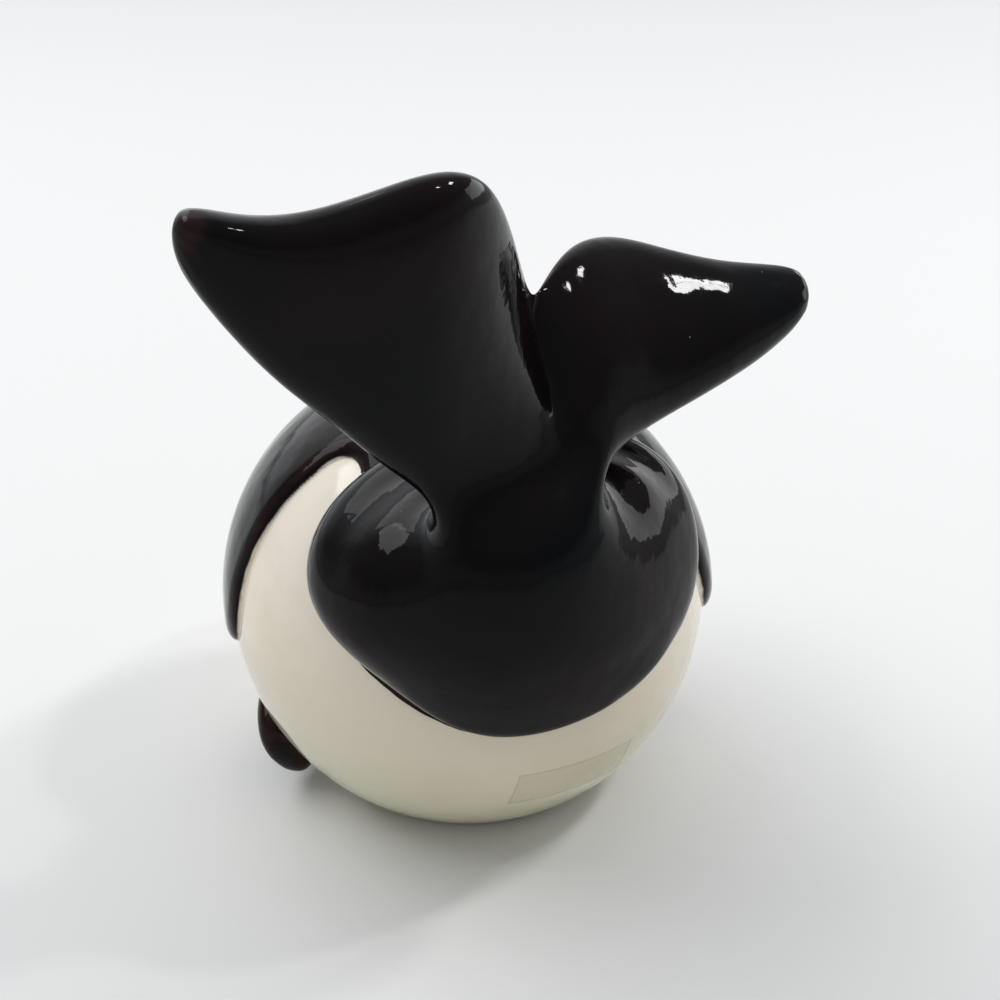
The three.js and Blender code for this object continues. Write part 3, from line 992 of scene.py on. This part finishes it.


# The finishes

# The ivory's top tone is painted light, and its low tone is painted shade with a painted greenish reflection
# of the ground.
IVORY_PAINTED_LIGHT_TOP = (0.87, 0.795, 0.695, 1)
IVORY = (0.79, 0.715, 0.56, 1)
IVORY_PAINTED_SHADE_LOW = (0.72, 0.69, 0.49, 1)
IVORY_STAIN = (0.70, 0.60, 0.44, 1)
SPECK_BROWN = (0.36, 0.27, 0.18, 1)
BLACK = (0.0022, 0.0024, 0.003, 1)
BLACK_WARM = (0.0065, 0.0028, 0.003, 1)
# Brown that is partly glaze breaking where it runs thinner and partly a painted reflection on the rims.
BLACK_THIN_AND_REFLECTED = (0.022, 0.0095, 0.0085, 1)
SPECK_PALE = (0.24, 0.23, 0.22, 1)
GLAZE_GLOSS = 0.1
GLAZE_RIPPLE = 0.0006
WHITE_COAT = 0.6
WHITE_COAT_ROUGHNESS = 0.06
# Heights in metres over which the ivory turns from its low tone of painted shade, and to its top tone of
# painted light
PAINTED_SHADE_HEIGHTS = (0.004, 0.034)
PAINTED_LIGHT_HEIGHTS = (0.03, 0.066)
CLAY = (0.68, 0.58, 0.45, 1)
CLAY_SCORCHED = (0.55, 0.43, 0.31, 1)
CLAY_RUBBED = (0.34, 0.29, 0.24, 1)
CLAY_SPECK = (0.3, 0.2, 0.13, 1)
CLAY_GRAIN = 0.0002
VINYL = (0.016, 0.016, 0.018, 1)
VINYL_WORN = (0.03, 0.03, 0.032, 1)
VINYL_DUST = (0.1, 0.095, 0.085, 1)
VINYL_GRAIN = 0.0001
FILM = (0.66, 0.6, 0.42, 1)
FILM_CLOUDED = (0.6, 0.52, 0.32, 1)
FILM_WRINKLE = 0.0002


def glaze_surface(paint):
    """The gloss, the faint smears and the small unevenness that every glazed piece has."""
    flow = paint.noise(60, 2)
    ripple = paint.noise(190, 2)
    peel = paint.noise(560, 2)
    smear = paint.step(paint.noise(34, 4, 0.65), 0.5, 0.75)
    return {
        "Roughness": paint.noise(140, 3) * 0.04 + smear * 0.05 + 0.03,
        "Normal": paint.bump(flow * 0.8 + ripple * 0.2 + peel * 0.03, GLAZE_RIPPLE),
        "Specular IOR Level": GLAZE_GLOSS,
    }


def black_colour(paint, thin_and_reflection):
    """Black that breaks to brown on sharp edges and rims, partly glaze running thinner and partly a painted
    brown reflection, with a few pale pinholes.
    """
    body = paint.mix(paint.step(paint.noise(30, 3), 0.4, 0.7), BLACK, BLACK_WARM)
    # Brown on sharp edges: glaze running thinner, and a painted reflection.
    broken_and_reflected = paint.mix(thin_and_reflection * paint.step(paint.noise(85, 4, 0.6), 0.3, 0.65), body, BLACK_THIN_AND_REFLECTED)
    return paint.mix(paint.specks(170, 0.03, 0.4) * 0.7, broken_and_reflected, SPECK_PALE)


def white_colour(paint):
    """Ivory that warms and darkens down the belly as painted shade with a painted greenish reflection of the
    ground, paler on top as painted light, with a faint mottle and small brown specks.
    """
    height = paint.height()
    # Painted shade low on the belly and painted light at the top, set by height.
    low = paint.mix(paint.step(height, *PAINTED_SHADE_HEIGHTS), IVORY_PAINTED_SHADE_LOW, IVORY)
    tone = paint.mix(paint.step(height, *PAINTED_LIGHT_HEIGHTS), low, IVORY_PAINTED_LIGHT_TOP)
    mottle = paint.step(paint.noise(48, 4, 0.6), 0.42, 0.75) * 0.3
    mottle = mottle + paint.step(paint.noise(210, 3), 0.55, 0.8) * 0.14
    mottled = paint.mix(mottle, tone, IVORY_STAIN)
    return paint.mix(paint.specks(230, 0.05, 0.16) * 0.6, mottled, SPECK_BROWN)


def black_glaze(paint):
    """The tail's and the fins' glaze, running thinner, with a painted brown reflection, where the surface
    turns sharply.
    """
    thin_and_reflection = paint.step(paint.attribute("thin_and_reflection"), 0.05, 0.2)
    return {"Base Color": black_colour(paint, thin_and_reflection), **glaze_surface(paint)}


def two_tone_glaze(paint):
    """The body's glaze: black over white, with a stained line between them."""
    depth = paint.attribute("black")
    edge = depth + paint.noise(160, 2) * 0.5 - 0.25
    mask = paint.step(edge, -0.05, 0.15)
    # The cape's rounded edge: glaze running thinner, and a painted brown reflection.
    thin_and_reflection = paint.step(depth, 0.2, 0.9) * (1 - paint.step(depth, 1.2, 2.8))
    stain = paint.step(depth, -1.1, -0.1) * paint.step(paint.noise(120, 3), 0.35, 0.7) * 0.45
    white = paint.mix(stain, white_colour(paint), IVORY_STAIN)
    return {
        **glaze_surface(paint),
        "Base Color": paint.mix(mask, white, black_colour(paint, thin_and_reflection)),
        "Coat Weight": (1 - mask) * WHITE_COAT,
        "Coat Roughness": WHITE_COAT_ROUGHNESS,
    }


def bisque(paint):
    """Bare fired clay, with a fine grain, grey handling marks and a brown scorch."""
    tone = paint.mix(paint.step(paint.noise(90, 4), 0.35, 0.7), CLAY, CLAY_SCORCHED)
    rubbed = paint.mix(paint.step(paint.noise(45, 4, 0.7), 0.55, 0.8) * 0.6, tone, CLAY_RUBBED)
    return {
        "Base Color": paint.mix(paint.specks(420, 0.2, 0.2), rubbed, CLAY_SPECK),
        "Roughness": paint.noise(200, 2) * 0.15 + 0.75,
        "Normal": paint.bump(paint.noise(1500, 3) + paint.noise(300, 3) * 0.8, CLAY_GRAIN),
    }


def soft_plug(paint):
    """Soft moulded vinyl: near black, dusty in places."""
    dust = paint.step(paint.noise(60, 4, 0.65), 0.52, 0.8) * 0.5
    body = paint.mix(paint.noise(150, 3), VINYL, VINYL_WORN)
    return {
        "Base Color": paint.mix(dust, body, VINYL_DUST),
        "Roughness": paint.noise(300, 3) * 0.2 + dust * 0.3 + 0.42,
        "Normal": paint.bump(paint.noise(2500, 2) + paint.noise(220, 2) * 0.6, VINYL_GRAIN),
    }


def clear_film(paint):
    """A clear film gone slightly yellow, a little denser along its cut edge."""
    cut = 1 - paint.step(paint.attribute("edge"), 0.1, 0.45)
    clouding = paint.step(paint.noise(110, 3, 0.6), 0.45, 0.75)
    return {
        "Base Color": paint.mix(clouding, FILM, FILM_CLOUDED),
        "Roughness": paint.noise(300, 2) * 0.12 + 0.14,
        "Alpha": clouding * 0.06 + cut * 0.16 + 0.13,
        "Normal": paint.bump(paint.noise(150, 2), FILM_WRINKLE),
    }


# The pieces

black_finish = material("black_glaze", black_glaze)
two_tone_finish = material("two_tone_glaze", two_tone_glaze)
bisque_finish = material("bisque", bisque)

add_piece("glazed_tail", tail_mesh(), [black_finish], "bank", "tail_casting")
add_piece("glazed_body", body_mesh(), [two_tone_finish, bisque_finish], "bank", "body_shell")
add_piece("glazed_dorsal_fin", dorsal_mesh(), [black_finish], "bank", "dorsal_fin")
add_piece("glazed_left_flipper", flipper_mesh(1), [black_finish], "bank", "left_flipper")
add_piece("glazed_right_flipper", flipper_mesh(-1), [black_finish], "bank", "right_flipper")
add_piece("soft_plug", plug_mesh(), [material("soft_plug", soft_plug)], "plug", "base_plug")
add_piece("film_label", label_mesh(), [material("clear_film", clear_film)], "bank", "clear_label")

# The camera, at the photograph's angle

CAMERA_AZIMUTH = 170
CAMERA_ELEVATION = 30
CAMERA_DISTANCE = 0.365
LENS = 66.6
SENSOR_WIDTH = 36
NEAREST = 0.01
# How far the picture's middle lies to the right of the equator's centre, and above it
AIM_RIGHT = 0.0065
AIM_UP = 0.0166


def towards(azimuth, elevation):
    """A direction by its bearing and height in degrees. Azimuth 0 is in front of the orca."""
    turn = math.radians(azimuth)
    rise = math.radians(elevation)
    out = math.cos(rise)
    return Vector((math.sin(turn) * out, -math.cos(turn) * out, math.sin(rise)))


def add_camera():
    centre = AXIS + Vector((0, 0, EQUATOR * MM))
    back = towards(CAMERA_AZIMUTH, CAMERA_ELEVATION)
    right = Vector((0, 0, 1)).cross(back).normalized()
    up = back.cross(right)
    place = centre + back * CAMERA_DISTANCE
    aim = centre + right * AIM_RIGHT + up * AIM_UP
    data = bpy.data.cameras.new("camera")
    data.lens = LENS
    data.sensor_width = SENSOR_WIDTH
    data.clip_start = NEAREST
    camera = bpy.data.objects.new("camera", data)
    camera.location = place
    camera.rotation_mode = "QUATERNION"
    camera.rotation_quaternion = (aim - place).to_track_quat("-Z", "Y")
    bpy.context.scene.collection.objects.link(camera)
    bpy.context.scene.camera = camera


# The studio: a pale floor, a plain sky and softboxes

FLOOR_REACH = 6
FLOOR_COLOUR = (0.72, 0.72, 0.71, 1)
FLOOR_ROUGHNESS = 0.9
SKY_COLOUR = (0.93, 0.96, 1.0, 1)
SKY_LEVEL = 0.28
# What the sky gains overhead and at the horizon, and the heights over which it does
OVERHEAD_GAIN = 0.25
OVERHEAD_HEIGHTS = (0.1, 1)
HORIZON_GAIN = 0.3
HORIZON_HEIGHTS = (0.04, 0.3)
# The paler sides of the sky: direction, where the brightening starts and ends, and its amount
SKY_SIDES = (
    ((0.05, -0.87, 0.49), 0.66, 0.98, 1.2),
    ((0.2, 0.1, 0.97), 0.75, 1, 0.15),
)
# What the softboxes point at, in metres
MIDDLE = Vector((0, 0, 0.06))
# Columns: name, azimuth, elevation and distance from the middle, width and height, watts.
SOFTBOXES = (
    ("key_window_left", 279, 44, 1.0, 0.06, 0.09, 1.1),
    ("key_window_right", 284.2, 44, 1.0, 0.06, 0.09, 1.1),
    ("rim_window", 259, 55, 1.0, 0.05, 0.07, 1.15),
    ("side_panel", 300, 11, 1.2, 0.9, 0.3, 1.9),
    ("far_panel", 70, 48, 1.2, 0.8, 0.45, 5.0),
    ("front_window", 27, 43, 1.2, 0.6, 0.5, 2.2),
)


def floor_paint(paint):
    return {"Base Color": FLOOR_COLOUR, "Roughness": FLOOR_ROUGHNESS}


def add_floor():
    bm = bmesh.new()
    bmesh.ops.create_grid(bm, x_segments=1, y_segments=1, size=FLOOR_REACH)
    mesh = bpy.data.meshes.new("floor")
    bm.to_mesh(mesh)
    bm.free()
    mesh.materials.append(material("floor", floor_paint))
    floor = bpy.data.objects.new("floor", mesh)
    bpy.context.scene.collection.objects.link(floor)


def add_world():
    """A plain sky: pale overhead, at the horizon and on the bright side."""
    world = bpy.data.worlds.new("studio")
    world.use_nodes = True
    bpy.context.scene.world = world
    paint = Paint(world.node_tree)
    place = paint.node("ShaderNodeTexCoord", output="Generated")
    height = paint.node("ShaderNodeSeparateXYZ", None, {"Vector": place}, 2)
    overhead = paint.step(height, *OVERHEAD_HEIGHTS) * OVERHEAD_GAIN
    horizon = (1 - paint.step(height, *HORIZON_HEIGHTS)) * HORIZON_GAIN
    strength = overhead + horizon + SKY_LEVEL
    for side, start, end, amount in SKY_SIDES:
        nearness = paint.node("ShaderNodeVectorMath", {"operation": "DOT_PRODUCT"}, {0: place, 1: side}, 1)
        strength = strength + paint.step(nearness, start, end) * amount
    background = world.node_tree.nodes["Background"]
    background.inputs["Color"].default_value = SKY_COLOUR
    paint.feed(background.inputs["Strength"], strength)


def add_softbox(name, azimuth, elevation, distance, width, height, watts):
    data = bpy.data.lights.new(name, "AREA")
    data.shape = "RECTANGLE"
    data.size = width
    data.size_y = height
    data.energy = watts
    lamp = bpy.data.objects.new(name, data)
    lamp.location = MIDDLE + towards(azimuth, elevation) * distance
    lamp.rotation_mode = "QUATERNION"
    lamp.rotation_quaternion = (MIDDLE - lamp.location).to_track_quat("-Z", "Y")
    bpy.context.scene.collection.objects.link(lamp)


add_camera()
add_floor()
add_world()
for softbox in SOFTBOXES:
    add_softbox(*softbox)

bpy.context.scene.view_settings.view_transform = "Standard"
